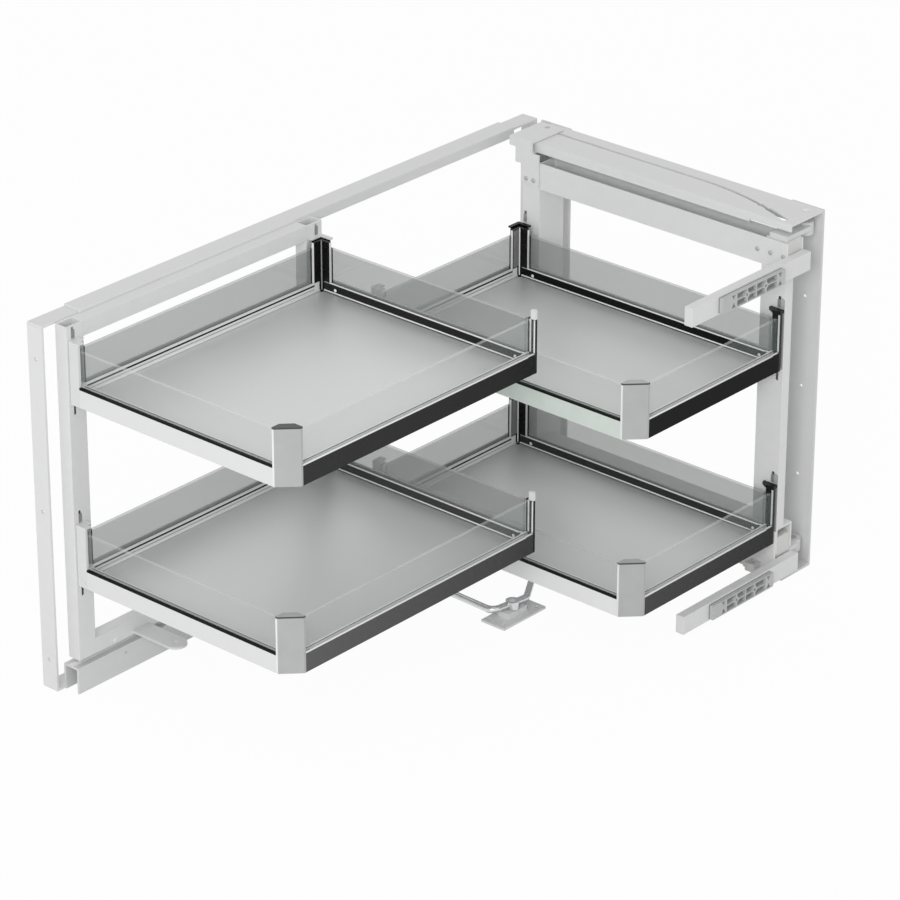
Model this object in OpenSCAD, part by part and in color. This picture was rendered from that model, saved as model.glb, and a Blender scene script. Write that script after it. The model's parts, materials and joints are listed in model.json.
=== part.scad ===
// Blind corner pull out for a kitchen corner cabinet.
// A rear ring carries a sliding carriage with two trays.
// A side frame carries a front frame with two trays, which runs out through a turning guide.
// X runs to the right, Y to the back and Z up. The origin is at the middle of the footprint.

/* [Rear ring] */
// Outer width of the rear ring
ring_w = 864; // [850:1:900]
// Height of the rear ring
ring_h = 471; // [465:1:500]
// Depth of the ring's steel strip
strip_d = 24; // [22:1:28]
// Thickness of the ring's strip
strip_t = 3; // [2:0.5:4]
// Radius of the cabinet screw holes
screw_hole_r = 2.5; // [2:0.1:3]
// Height of the lowest screw hole in the ring
ring_hole_z = 39; // [30:1:60]
// Pitch of the screw holes in the ring
ring_hole_pitch = 194; // [150:1:200]

/* [Rear rails] */
// Sheet thickness of both rear rails
rail_t = 2.5; // [2:0.5:3]
// Distance of the top rail's left end from the ring's left side
top_rail_inset = 58; // [20:1:80]
// Length of the top rail
top_rail_len = 758; // [740:1:780]
// Height of the top rail's front lip
lip_h = 13.5; // [12.5:0.5:15]
// Distance of the bottom rail's left end from the ring's left side
bottom_rail_inset = 12; // [5:1:15]
// Length of the bottom rail
bottom_rail_len = 800; // [760:1:815]
// Width of the bottom rail
bottom_rail_w = 24; // [24:1:28]
// Height of the bottom rail under its track
bottom_rail_h = 34; // [30:1:36]
// Radius of the half-round track on the bottom rail
track_r = 3.5; // [3:0.1:4]

/* [Rear carriage] */
// Distance of the carriage's left side from the ring's left side
carriage_inset = 18; // [15:1:20]
// Width of the carriage
carriage_w = 423; // [415:1:430]
// Width of a carriage post
post_w = 27; // [24:1:30]
// Depth of the carriage's posts and bars
post_d = 18; // [17:1:18]
// Wall of all tubes of the carriage and the front frame
tube_t = 2; // [1.5:0.5:2]
// Drop of the carriage's top below the ring's top
carriage_drop = 1; // [0:0.5:2]
// Height of the carriage's top bar
top_bar_h = 19; // [19:1:24]
// Height of the carriage's bottom bar
bottom_bar_h = 20; // [19:1:24]
// Radius of a track wheel at its flanges
wheel_r = 10.5; // [10:0.1:11]
// Depth of the groove in a track wheel
wheel_groove = 2.3; // [2:0.1:2.5]
// Width of a track wheel
wheel_w = 10; // [9:0.5:11]
// Radius of a wheel's axle
axle_r = 3; // [2.5:0.1:3.5]
// Distance of a wheel's axle from the carriage's end
wheel_inset = 57; // [45:1:80]
// Radius of a guide roller
roller_r = 5.5; // [5:0.1:6]
// Height of a guide roller
roller_h = 5.6; // [5:0.1:6]
// Radius of a guide roller's pin
roller_pin_r = 2; // [1.5:0.1:2.5]
// Distance of the tongue's middle from the carriage's left side
tongue_x = 100; // [60:1:140]
// Width of the tongue
tongue_w = 28; // [24:1:34]
// Length of the tongue in front of the bottom bar
tongue_len = 73; // [50:1:80]
// Thickness of the tongue
tongue_t = 3; // [2:0.5:4]

/* [Side frame] */
// Distance of the side uprights' outer face from the ring's right side
side_gap = 13; // [10:1:16]
// Height of the side frame
side_h = 478; // [476:1:490]
// Distance of the side frame's front edge from the ring's back
side_front = 488; // [480:1:500]
// Thickness of the side uprights
upright_t = 3; // [2:0.5:3]
// Width of the side uprights
upright_w = 48; // [40:1:50]
// Distance of the rear upright from the ring's back
rear_upright_d = 44; // [40:1:50]
// Height of the lowest screw hole in a side upright
upright_hole_z = 119; // [90:1:130]
// Pitch of the screw holes in a side upright
upright_hole_pitch = 120; // [100:1:125]
// Distance of a side upright's screw holes from its front edge
upright_hole_in = 23; // [20:1:25]
// Width of the top cover
cover_w = 64; // [62:1:70]
// Sheet thickness of the top cover
cover_t = 3; // [2:0.5:3]
// Height of the cover's near skirt
near_skirt = 12; // [10:1:12]
// Height of the cover's far skirt
far_skirt = 26; // [20:1:30]
// Distance of the cover's rear end from the ring's back
cover_start = 60; // [58:1:64]
// Width of the guide slot
slot_w = 5; // [4:0.5:6]
// Width of the guide slot's open front part
slot_open_w = 8; // [7:0.5:9]
// Distance of the guide slot from the cover's far edge
slot_in = 20; // [18:1:22]
// Length of the straight part of the guide slot
slot_len = 245; // [220:1:250]
// Radius of the curved part of the guide slot
slot_r = 380; // [360:1:450]
// Angle of the narrow curved part of the guide slot
slot_narrow_angle = 18; // [15:1:19]
// Angle of the whole curved part of the guide slot
slot_angle = 24; // [22:1:24]
// Angle of the entry hole in the guide slot
slot_hole_angle = 16; // [14:1:17]
// Radius of the entry hole in the guide slot
slot_hole_r = 4; // [3.5:0.1:4.5]
// Length of the notch under the near skirt's front end
notch_len = 62; // [40:1:80]
// Width of the base plate
base_w = 58; // [40:1:62]
// Length of the base plate
base_len = 60; // [50:1:70]
// Reach of the base plate in front of the upright
base_over = 2; // [0:0.5:3]

/* [Turning guide] */
// Radius of the hinge pins
pin_r = 5; // [4:0.1:5.5]
// Distance of the hinge axis from the upright's inner face
pin_in = 14; // [13:0.5:16]
// Distance of the hinge axis from the side frame's front edge
pin_back = 16; // [15:0.5:16]
// Outer radius of a bush
bush_r = 8; // [7.5:0.1:8.5]
// Outer radius of a guide arm's boss
boss_r = 10.5; // [10:0.1:11]
// Height of a guide arm's boss
boss_h = 15; // [13:0.5:16]
// Thickness of a guide arm
guide_t = 6; // [5:0.5:6]
// Width of a guide arm
guide_w = 26; // [22:1:28]
// Length of a guide shoe
shoe_len = 33; // [26:1:34]
// Depth of a guide shoe in its beam
shoe_h = 25; // [20:1:28]

/* [Front frame] */
// Distance of the frame's right face from the hinge axis
swing_in = 24; // [24:0.5:26]
// Width of the frame's beams
swing_w = 31; // [30:1:33]
// Height of the frame's beams
beam_h = 35; // [34:1:38]
// Sheet thickness of the beams
beam_t = 2.5; // [2:0.5:3]
// Height of the frame's underside
frame_z = 40; // [40:1:44]
// Gap between the frame's top and the cover's near skirt
frame_gap = 11; // [10:0.5:12]
// Distance of the rear post from the ring's back
swing_rear = 73; // [73:1:76]
// Depth of the rear post
rear_post_d = 28; // [24:1:28]
// Width of the rear post
rear_post_w = 47; // [40:1:48]
// Depth of the front post
front_post_d = 38; // [34:1:40]
// Width of the front post
front_post_w = 14; // [13:0.5:16]
// Sheet thickness of the saddle bracket and the lower bracket
bracket_t = 3; // [2:0.5:3]
// Length of the saddle's top plate
saddle_len = 37; // [34:1:38]
// Width of the saddle's top plate
saddle_w = 62; // [60:1:64]
// Reach of the saddle behind the rear post
saddle_back = 20; // [16:1:20]
// Length of the saddle's arm down the rear post
saddle_drop = 30; // [26:1:40]
// Length of the lower bracket
lower_bracket_len = 54; // [48:1:60]
// Radius of the frame's screw heads
screw_head_r = 3; // [2.5:0.1:3.5]
// Height of the frame's screw heads
screw_head_h = 1.8; // [1.5:0.1:2.2]
// Pitch of the screws at the front of the top beam
beam_screw_pitch = 19.5; // [16:0.5:22]
// Side of the stop block
stop_w = 14; // [12:0.5:16]

/* [Door arms] */
// Length of a door arm
arm_len = 227; // [220:1:240]
// Depth of a door arm
arm_d = 12; // [10:0.5:14]
// Height of a door arm
arm_h = 24; // [22:0.5:26]
// Distance of the upper door arm's underside below the frame's top
upper_arm_drop = 39; // [36:1:43]
// Height of the lower door arm's underside
lower_arm_z = 11; // [8:0.5:13]
// Length of a door adapter
adapter_len = 120; // [110:1:130]
// Height of a door adapter
adapter_h = 19.5; // [18:0.5:21]
// Thickness of a door adapter
adapter_t = 6; // [5:0.5:8]
// Thickness of a door adapter's back and ribs
adapter_rib = 1.6; // [1.2:0.1:2]
// Distance of a door adapter from the arm's free end
adapter_inset = 49; // [40:1:60]
// Distance of the first door screw from the adapter's end
adapter_hole = 47; // [45:1:50]
// Pitch of the two door screws
adapter_pitch = 36; // [34:1:38]

/* [Lever] */
// Distance of the floor plate from the ring's left side
plate_x = 463; // [440:1:480]
// Distance of the floor plate from the ring's back
plate_d = 282; // [270:1:300]
// Length of the floor plate
plate_len = 78; // [70:1:90]
// Width of the floor plate
plate_w = 37; // [34:1:45]
// Thickness of the floor plate
plate_t = 3; // [2:0.5:4]
// Height of the pivot block on the floor plate
block_h = 8; // [6:0.5:9]
// Radius of the lever's pivot pin
pivot_r = 4; // [3:0.1:4.5]
// Outer radius of the lever's hub
hub_r = 8.5; // [7.5:0.1:9]
// Height of the lever's hub
hub_h = 10; // [9:0.5:11]
// Radius of the lever's rod
rod_r = 4.4; // [4:0.1:4.5]
// Distance of the pivot from the floor plate's left end
pivot_in = 36.7; // [34:0.1:40]
// Distance of the lever's elbow from its pivot, to the left
elbow_x = 30; // [25:1:34]
// Distance of the lever's elbow from its pivot, to the back
elbow_y = 6; // [4:0.5:8]
// Length of the lever's long arm
long_arm = 150; // [120:1:160]
// Lean of the lever's long arm to the right
long_lean = 4; // [0:0.5:8]
// Distance of the lever's knee from its pivot, to the right
knee_x = 24; // [20:1:28]
// Distance of the lever's knee from its pivot, to the front
knee_y = 2; // [0:0.5:4]
// Reach of the lever's short end to the right
short_x = 32; // [26:1:36]
// Reach of the lever's short end to the back
short_y = 16; // [12:1:20]
// Radius of the bends in the lever's rod, at its middle
bend_r = 11; // [10:0.5:13]
// Swelling of the rod in its bends
bend_swell = 0.15; // [0.1:0.05:0.3]
// Rise of the lever's short end
short_rise = 14; // [10:1:15]

/* [Trays] */
// Depth of a rear tray
rear_tray_d = 342; // [320:1:342]
// Distance of a rear tray's side from the carriage's side
rear_tray_in = 2; // [0:0.5:4]
// Height of the lower rear tray's underside
rear_lower_z = 141; // [141:1:150]
// Distance of the upper rear tray's underside below the carriage's top
rear_upper_drop = 96; // [90:1:96]
// Width of a front tray
front_tray_w = 276; // [265:1:280]
// Reach of a front tray behind the front frame's rear post
front_tray_over = 3; // [0:0.5:3]
// Distance of a front tray's front from the side frame's front edge
front_tray_back = 1; // [1:0.5:3]
// Height of the lower front tray's underside
front_lower_z = 57; // [52:1:57]
// Distance of the upper front tray's underside below the front frame's top
front_upper_drop = 164; // [164:1:175]
// Height of a tray's rails
tray_rail_h = 25; // [22:1:28]
// Width of a tray's rails
tray_rail_w = 12; // [11:0.5:13]
// Thickness of a tray's floor board
floor_t = 4; // [3:0.5:5]
// Height of the floor board's underside in its tray
floor_z = 8; // [6:0.5:9]
// Depth of the floor groove in the rails
floor_groove = 4; // [3:0.5:4.5]
// Thickness of the glass
glass_t = 5; // [4:0.5:5]
// Depth of the glass groove in the rails
glass_groove = 6; // [5:0.5:7]
// Height of the glass top in its tray
glass_top = 68; // [60:1:70]
// Side of a black corner post
corner_w = 16; // [15:0.5:18]
// Height of a black corner post with its cap
corner_h = 79; // [75:1:79]
// Thickness of a corner post's cap
cap_t = 2; // [1.5:0.5:3]
// Depth of the glass slots in the posts
post_slot = 3; // [2.5:0.5:4]
// Side of the chamfered front post
front_corner_w = 24; // [22:0.5:26]
// Chamfer of the front post
front_chamfer = 21; // [16:0.5:21]
// Height of the chamfered front post with its cap
front_corner_h = 72; // [71:1:76]
// Crown of the rails' top edges
rail_crown = 0.75; // [0.5:0.05:1]
// Radius of the bead along the rails over the floor
floor_bead_r = 1.2; // [1:0.1:1.5]
// Chamfer of a corner post's edges
corner_chamfer = 1.2; // [0.8:0.1:1.5]
// Width of a tray hook
hook_w = 3; // [2.5:0.1:3.5]
// Height of a tray hook's arm
hook_h = 8; // [6:0.5:9]
// Height of a hook's underside in its tray
hook_z = 40; // [30:1:45]

/* [Clearances] */
// Gap between pieces that slide past each other
run_gap = 0.5; // [0.4:0.1:0.7]
// Gap between pieces that are slid together and stay
seat_gap = 0.2; // [0.1:0.05:0.3]
// Radial gap of a wheel, a bush or a hub on its pin
bore_gap = 0.06; // [0.03:0.01:0.09]

/* [Hidden] */
$fn = 48;
overlap = 1;

depth = side_front + arm_d + adapter_t;
left = -ring_w / 2;
right = ring_w / 2;
back = depth / 2;
function at(x, d, z) = [left + x, back - d, z];

carriage_d = strip_d + rail_t + run_gap;
carriage_front = carriage_d + post_d;
carriage_mid = carriage_d + post_d / 2;
tread_r = wheel_r - wheel_groove;
track_top = bottom_rail_h + track_r;
axle_z = track_top + run_gap + tread_r;
carriage_z = axle_z - axle_r - tube_t;
carriage_top = ring_h - carriage_drop;
lip_z = ring_h + rail_t - lip_h;
roller_z = ring_h - strip_t - run_gap - roller_h;
roller_d = strip_d - run_gap - roller_r;
tab_t = lip_z - run_gap - (carriage_top - top_bar_h);

upright_x = ring_w - side_gap - upright_t;
cover_x = upright_x - cover_w;
axis_x = upright_x - pin_in;
axis_d = side_front - pin_back;
slot_x = upright_x - slot_in;
slot_start = cover_start + 2 * slot_w;
slot_bend = slot_start + slot_len;
skirt_z = side_h - near_skirt;

swing_right = axis_x - swing_in;
swing_left = swing_right - swing_w;
swing_front = side_front;
frame_top = skirt_z - frame_gap;
rear_post_front = swing_rear + rear_post_d;
guide_top_z = frame_top + 4 * run_gap;
guide_low_z = frame_z - 6 * run_gap - guide_t;
shoe_x = (swing_left + swing_right) / 2;
arm_x = swing_right - arm_len;

upper_arm_z = frame_top - upper_arm_drop;

rear_tray_back = carriage_front + seat_gap;
rear_tray_inset = carriage_inset + rear_tray_in;
rear_tray_w = carriage_w - 2 * rear_tray_in;
rear_upper_z = carriage_top - rear_upper_drop;
front_tray_x = swing_left - bracket_t - run_gap - front_tray_w;
front_tray_front = side_front - front_tray_back;
front_tray_d = front_tray_front - swing_rear + front_tray_over;
front_upper_z = frame_top - front_upper_drop;
hook_slot_w = hook_w + 2 * run_gap;
hook_drop = hook_h;
glass_slot = glass_t + 2 * seat_gap;
rail_strip = (tray_rail_w - glass_slot) / 2;
crown_r = (rail_strip * rail_strip / 4 + rail_crown * rail_crown) / (2 * rail_crown);
hub_x = plate_x + pivot_in;
hub_d = plate_d + plate_w / 2;
hub_z = plate_t + block_h + run_gap;
rod_z = hub_z + hub_h / 2;

steel = "gainsboro";
sheet = "whitesmoke";
nylon = "dimgray";

// Helpers

// Box between two corners, whichever way round they are given
module block(a, b) {
  low = [min(a.x, b.x), min(a.y, b.y), min(a.z, b.z)];
  high = [max(a.x, b.x), max(a.y, b.y), max(a.z, b.z)];
  translate(low) cube(high - low);
}

// Profile drawn in Y and Z, run along X
module run_x(len) rotate([90, 0, 90]) linear_extrude(len) children();

// Profile drawn in X and Z, run towards the back
module run_y(len) translate([0, len, 0]) rotate([90, 0, 0]) linear_extrude(len) children();

// Round bar with its axis along X, Y or Z from a point
module peg_x(p, r, len) translate(p) rotate([0, 90, 0]) cylinder(r = r, h = len);
module peg_y(p, r, len) translate(p) rotate([-90, 0, 0]) cylinder(r = r, h = len);
module peg_z(p, r, len) translate(p) cylinder(r = r, h = len);

// Round rod between two points
module rod(a, b) {
  v = b - a;
  translate(a) rotate([0, acos(v.z / norm(v)), atan2(v.y, v.x)]) cylinder(r = rod_r, h = norm(v));
}

function unit(v) = v / norm(v);
// Half of the angle between the two arms of a bend at p, and the length that the bend takes from each arm
function half_angle(p, a, b) = acos(unit(a - p) * unit(b - p)) / 2;
function bend_len(p, a, b) = bend_r / tan(half_angle(p, a, b));

// Bend of the rod at p, between the arms to a and to b
module rod_bend(p, a, b) {
  half = half_angle(p, a, b);
  middle = p + unit(unit(a - p) + unit(b - p)) * bend_r / sin(half);
  x = unit(p + unit(a - p) * bend_len(p, a, b) - middle);
  n = unit(cross(x, p + unit(b - p) * bend_len(p, a, b) - middle));
  y = cross(n, x);
  multmatrix([
    [x.x, y.x, n.x, middle.x], [x.y, y.y, n.y, middle.y], [x.z, y.z, n.z, middle.z], [0, 0, 0, 1]
  ]) rotate_extrude(angle = 180 - 2 * half) translate([bend_r, 0]) circle(r = rod_r + bend_swell);
}

// Slots in a post for the hooks of both trays, with a spare slot above and below each tray
function hook_slots(tray_z) = [
  [tray_z + hook_z - hook_drop - run_gap, tray_z + hook_z + hook_h + hook_drop],
  [tray_z - 2 * hook_h, tray_z - run_gap],
  [tray_z + corner_h + run_gap, tray_z + corner_h + 2 * hook_h - run_gap]
];

// Rear ring

module ring_upright(x) {
  difference() {
    block(at(x, 0, strip_t), at(x + strip_t, strip_d, ring_h - strip_t));
    for (i = [0:2])
      peg_x(at(x - overlap, strip_d / 2, ring_hole_z + i * ring_hole_pitch), screw_hole_r, strip_t + 2 * overlap);
  }
}

module ring_uprights() color(sheet) {
  ring_upright(0);
  ring_upright(ring_w - strip_t);
}

module ring_cross_strips() color(sheet) {
  block(at(0, 0, 0), at(ring_w, strip_d, strip_t));
  block(at(0, 0, ring_h - strip_t), at(ring_w, strip_d, ring_h));
}

// Rear rails

module rear_top_rail() color(sheet) {
  block(at(top_rail_inset, 0, ring_h), at(top_rail_inset + top_rail_len, strip_d + rail_t, ring_h + rail_t));
  block(at(top_rail_inset, strip_d, lip_z), at(top_rail_inset + top_rail_len, strip_d + rail_t, ring_h));
}

module bottom_rail_profile() {
  difference() {
    square([bottom_rail_w, bottom_rail_h]);
    translate([rail_t, -overlap]) square([bottom_rail_w - 2 * rail_t, bottom_rail_h - rail_t + overlap]);
  }
  translate([bottom_rail_w / 2, bottom_rail_h]) intersection() {
    circle(r = track_r);
    translate([-track_r, -rail_t / 2]) square([2 * track_r, track_r + rail_t / 2]);
  }
}

module rear_bottom_rail() color(steel) {
  translate(at(bottom_rail_inset, carriage_mid + bottom_rail_w / 2, 0)) run_x(bottom_rail_len) bottom_rail_profile();
}

// Side frame

module side_upright(d) {
  difference() {
    block(at(upright_x, d, 0), at(upright_x + upright_t, d + upright_w, side_h));
    for (i = [0:2])
      peg_x(at(upright_x - overlap, d + upright_w - upright_hole_in, upright_hole_z + i * upright_hole_pitch),
            screw_hole_r, upright_t + 2 * overlap);
  }
}

module side_uprights() color(steel) {
  side_upright(side_front - upright_w);
  side_upright(rear_upright_d);
}

// Sector of a flat ring in plan, that is the curved part of the guide slot
module slot_arc(width, angle) {
  translate(at(slot_x - slot_r, slot_bend, side_h - cover_t - overlap))
    rotate([0, 0, -angle])
      rotate_extrude(angle = angle, $fn = 180)
        translate([slot_r - width / 2, 0]) square([width, cover_t + 2 * overlap]);
}

// Point on the middle of the curved slot
function on_slot(angle) = at(slot_x - slot_r * (1 - cos(angle)), slot_bend + slot_r * sin(angle),
                             side_h - cover_t - overlap);

module side_cover() color(sheet) {
  cut = cover_t + 2 * overlap;
  difference() {
    union() {
      block(at(cover_x, cover_start, side_h - cover_t), at(upright_x, side_front, side_h));
      block(at(cover_x, cover_start, skirt_z), at(cover_x + cover_t, side_front, side_h));
      block(at(upright_x - cover_t, cover_start, side_h - far_skirt),
            at(upright_x, axis_d - boss_r - cover_t, side_h));
    }
    // straight guide slot with a round rear end
    block(at(slot_x - slot_w / 2, slot_start, side_h - cover_t - overlap),
          at(slot_x + slot_w / 2, slot_bend, side_h + overlap));
    peg_z(at(slot_x, slot_start, side_h - cover_t - overlap), slot_w / 2, cut);
    // curved guide slot, wider at its open front end
    slot_arc(slot_w, slot_narrow_angle);
    difference() {
      slot_arc(slot_open_w, slot_angle);
      slot_arc(slot_open_w + 2 * overlap, slot_narrow_angle);
    }
    peg_z(on_slot(slot_angle), slot_open_w / 2, cut);
    peg_z(on_slot(slot_hole_angle), slot_hole_r, cut);
    // notch under the near skirt and the hinge pin's hole
    block(at(cover_x - overlap, side_front - notch_len, skirt_z - overlap),
          at(cover_x + cover_t + overlap, side_front + overlap, skirt_z + cover_t));
    peg_z(at(axis_x, axis_d, side_h - cover_t - overlap), pin_r + bore_gap, cut);
  }
}

module side_base_plate() color(steel) {
  difference() {
    block(at(upright_x - base_w, side_front + base_over - base_len, 0), at(upright_x, side_front + base_over, upright_t));
    peg_z(at(axis_x, axis_d, -overlap), pin_r + bore_gap, upright_t + 2 * overlap);
  }
}

// Turning guide

boss_top_z = guide_top_z + guide_t + 2 * run_gap;
boss_low_z = guide_low_z + guide_t + 2 * run_gap - boss_h;
flange_t = 3 * run_gap;

module hinge_pins() color("silver") {
  peg_z(at(axis_x, axis_d, boss_top_z - boss_h - 2 * run_gap), pin_r, side_h - boss_top_z + boss_h + 2 * run_gap);
  peg_z(at(axis_x, axis_d, 0), pin_r, boss_low_z + boss_h + 2 * run_gap);
  // collar that carries the lower bush
  peg_z(at(axis_x, axis_d, boss_low_z - flange_t - seat_gap - 2 * flange_t), bush_r, 2 * flange_t);
}

module guide_arm(z, boss_z) {
  difference() {
    union() {
      block(at(shoe_x - swing_w / 2 + beam_t, axis_d - guide_w / 2, z), at(axis_x, axis_d + guide_w / 2, z + guide_t));
      peg_z(at(axis_x, axis_d, boss_z), boss_r, boss_h);
    }
    peg_z(at(axis_x, axis_d, boss_z - overlap), bush_r, boss_h + 2 * overlap);
    // corners of the arm that would reach past the boss
    for (side = [-1, 1])
      block(at(axis_x - boss_r / 2, axis_d + side * boss_r, z - overlap),
            at(axis_x + overlap, axis_d + side * guide_w, z + guide_t + overlap));
  }
}

module guide_arms() color(steel) {
  guide_arm(guide_top_z, boss_top_z - boss_h);
  guide_arm(guide_low_z, boss_low_z);
}

module guide_bush(z, flange_z) {
  difference() {
    union() {
      peg_z(at(axis_x, axis_d, z), bush_r, boss_h);
      peg_z(at(axis_x, axis_d, flange_z), boss_r - run_gap, flange_t);
    }
    peg_z(at(axis_x, axis_d, z - flange_t - overlap), pin_r + bore_gap, boss_h + 2 * flange_t + 2 * overlap);
  }
}

module guide_bushes() color(nylon) {
  guide_bush(boss_top_z - boss_h, boss_top_z);
  guide_bush(boss_low_z, boss_low_z - flange_t);
}

module guide_shoe(z) {
  half = swing_w / 2 - beam_t - run_gap;
  nose = axis_d + pin_back - 2 * run_gap;
  block(at(shoe_x - half, nose - shoe_len, z), at(shoe_x + half, nose, z + shoe_h));
}

module guide_shoes() color(nylon) {
  guide_shoe(guide_top_z - shoe_h);
  guide_shoe(guide_low_z + guide_t);
}

// Front frame

module swing_beam_profile() {
  difference() {
    square([swing_w, beam_h]);
    translate([beam_t, beam_t]) square([swing_w - 2 * beam_t, beam_h]);
  }
}

module swing_top_beam() color(sheet) {
  translate(at(swing_left, swing_front, frame_top - beam_h)) run_y(swing_front - rear_post_front) swing_beam_profile();
}

module swing_bottom_beam() color(sheet) {
  translate(at(swing_left, swing_front, frame_z + beam_h))
    mirror([0, 0, 1]) run_y(swing_front - rear_post_front) swing_beam_profile();
}

// Tube along Z between two corners
module upright_tube(a, b) {
  difference() {
    block(a, b);
    block([a.x + tube_t, a.y - tube_t, a.z - overlap], [b.x - tube_t, b.y + tube_t, b.z + overlap]);
  }
}

module swing_hook_slots(d) {
  for (tray_z = [front_lower_z, front_upper_z])
    for (s = hook_slots(tray_z))
      block(at(swing_left - overlap, d - hook_slot_w / 2, s[0]),
            at(swing_left + tube_t + overlap, d + hook_slot_w / 2, s[1]));
}

front_hook_d = front_tray_front - corner_w / 2;
rear_hook_d = front_tray_front - front_tray_d + corner_w / 2;

module swing_front_post() color(sheet) {
  difference() {
    upright_tube(at(swing_left, swing_front - front_post_d, frame_z + beam_h),
                 at(swing_left + front_post_w, swing_front, frame_top - beam_h));
    swing_hook_slots(front_hook_d);
  }
}

module swing_rear_post() color(sheet) {
  difference() {
    upright_tube(at(swing_left, swing_rear, frame_z), at(swing_left + rear_post_w, rear_post_front, frame_top));
    swing_hook_slots(rear_hook_d);
  }
}

saddle_z = side_h + run_gap;
saddle_d = swing_rear - saddle_back;

module saddle_bracket() color(sheet) {
  step = saddle_back / 2;
  x = swing_left - bracket_t;
  difference() {
    union() {
      block(at(x, saddle_d, saddle_z), at(x + saddle_w, saddle_d + saddle_len, saddle_z + bracket_t));
      translate(at(x, 0, 0)) run_x(bracket_t)
        polygon([
          [-saddle_d, saddle_z + bracket_t],
          [-saddle_d, skirt_z + bracket_t],
          [-saddle_d - step, skirt_z + bracket_t],
          [-saddle_d - step, frame_top - 2 * bracket_t],
          [-swing_rear, frame_top - 2 * bracket_t],
          [-swing_rear, frame_top - saddle_drop],
          [-rear_post_front, frame_top - saddle_drop],
          [-rear_post_front, skirt_z],
          [-saddle_d - saddle_len, skirt_z],
          [-saddle_d - saddle_len, saddle_z + bracket_t]
        ]);
    }
    peg_z(at(slot_x, saddle_d + saddle_len / 2, saddle_z - overlap), screw_head_r + seat_gap, bracket_t + 2 * overlap);
  }
}

module lower_bracket() color(sheet) {
  block(at(swing_left - bracket_t, swing_front - lower_bracket_len, lower_arm_z),
        at(swing_left, swing_front, frame_z + beam_h - bracket_t));
}

module stop_block() color("white") {
  x = swing_left - bracket_t;
  d = swing_front - lower_bracket_len / 2;
  difference() {
    block(at(x - stop_w, d - stop_w / 2, lower_arm_z + bracket_t), at(x, d + stop_w / 2, lower_arm_z + stop_w));
    peg_z(at(x - stop_w / 2, d, lower_arm_z), screw_hole_r, stop_w + overlap);
  }
}

// Pan head on a face that looks to the left
module pan_head(x, d, z) {
  translate(at(x, d, z)) rotate([0, -90, 0])
    rotate_extrude() intersection() {
      translate([0, -screw_head_r]) circle(r = screw_head_r + screw_head_h);
      square([screw_head_r, screw_head_h]);
    }
}

module frame_screws() color("darkgray") {
  for (i = [0:2])
    pan_head(swing_left, swing_front - 2 * screw_head_r - i * beam_screw_pitch, frame_top - beam_h / 2);
  for (side = [-1, 1]) {
    pan_head(swing_left - bracket_t, swing_rear + rear_post_d / 2 + side * 2 * screw_head_r,
             frame_top - saddle_drop + 2 * screw_head_r);
    pan_head(swing_left - bracket_t, swing_front - lower_bracket_len / 2 + side * 3 * screw_head_r,
             frame_z + 2 * screw_head_r);
  }
  peg_z(at(slot_x, saddle_d + saddle_len / 2, saddle_z), screw_head_r, bracket_t);
}

// Door arms and adapters

module door_arm(z) {
  solid_x = swing_left - bracket_t - tube_t;
  difference() {
    block(at(arm_x, swing_front, z), at(swing_right, swing_front + arm_d, z + arm_h));
    block(at(arm_x + tube_t, swing_front - overlap, z + tube_t),
          at(solid_x, swing_front + arm_d - tube_t, z + arm_h - tube_t));
  }
}

module door_arms() color(sheet) {
  door_arm(upper_arm_z);
  door_arm(lower_arm_z);
}

// Pockets between the ribs of a door adapter, drawn in X and Z
module adapter_pockets() {
  rib = adapter_rib;
  mid = adapter_h / 2;
  boss = mid - rib;
  row_h = mid - 1.5 * rib;
  hole2 = adapter_hole + adapter_pitch;
  middle = adapter_hole + adapter_pitch / 2;
  tie = 2 * boss;
  first = adapter_hole - boss - tie - rib;
  last = hole2 + boss + tie + rib;
  cells = [
    [first + rib, adapter_hole - boss], [adapter_hole + boss, middle - rib / 2],
    [middle + rib / 2, hole2 - boss], [hole2 + boss, last - rib]
  ];
  for (c = cells)
    for (z = [rib, mid + rib / 2])
      translate([c[0], z]) square([c[1] - c[0], row_h]);
  // pairs of triangles at both ends
  for (x = [first - boss, last]) {
    polygon([[x + rib / 2, rib], [x + boss - rib / 2, rib], [x + boss / 2, mid - rib]]);
    polygon([[x + rib / 2, adapter_h - rib], [x + boss / 2, mid + rib], [x + boss - rib / 2, adapter_h - rib]]);
  }
}

module door_adapter(z) {
  y = swing_front + arm_d;
  translate(at(arm_x + adapter_inset, y, z + (arm_h - adapter_h) / 2)) difference() {
    rotate([90, 0, 0]) linear_extrude(adapter_t) square([adapter_len, adapter_h]);
    translate([0, -adapter_rib, 0]) rotate([90, 0, 0]) linear_extrude(adapter_t) adapter_pockets();
    for (x = [adapter_hole, adapter_hole + adapter_pitch])
      peg_y([x, -adapter_t - overlap, adapter_h / 2], screw_hole_r, adapter_t + 2 * overlap);
  }
}

module door_adapters() color("lightgray") {
  door_adapter(upper_arm_z);
  door_adapter(lower_arm_z);
}

// Rear carriage

carriage_right = carriage_inset + carriage_w;
wheel_xs = [carriage_inset + wheel_inset, carriage_right - wheel_inset];
rear_hook_xs = [rear_tray_inset + corner_w / 2, rear_tray_inset + rear_tray_w - corner_w / 2];

module carriage_hook_slots() {
  for (x = rear_hook_xs)
    for (tray_z = [rear_lower_z, rear_upper_z])
      for (s = hook_slots(tray_z))
        block(at(x - hook_slot_w / 2, carriage_front - tube_t - overlap, s[0]),
              at(x + hook_slot_w / 2, carriage_front + overlap, min(s[1], carriage_top - tube_t)));
}

module carriage_posts() color(sheet) {
  difference() {
    for (x = [carriage_inset, carriage_right - post_w])
      upright_tube(at(x, carriage_d, carriage_z), at(x + post_w, carriage_front, carriage_top));
    carriage_hook_slots();
  }
}

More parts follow.
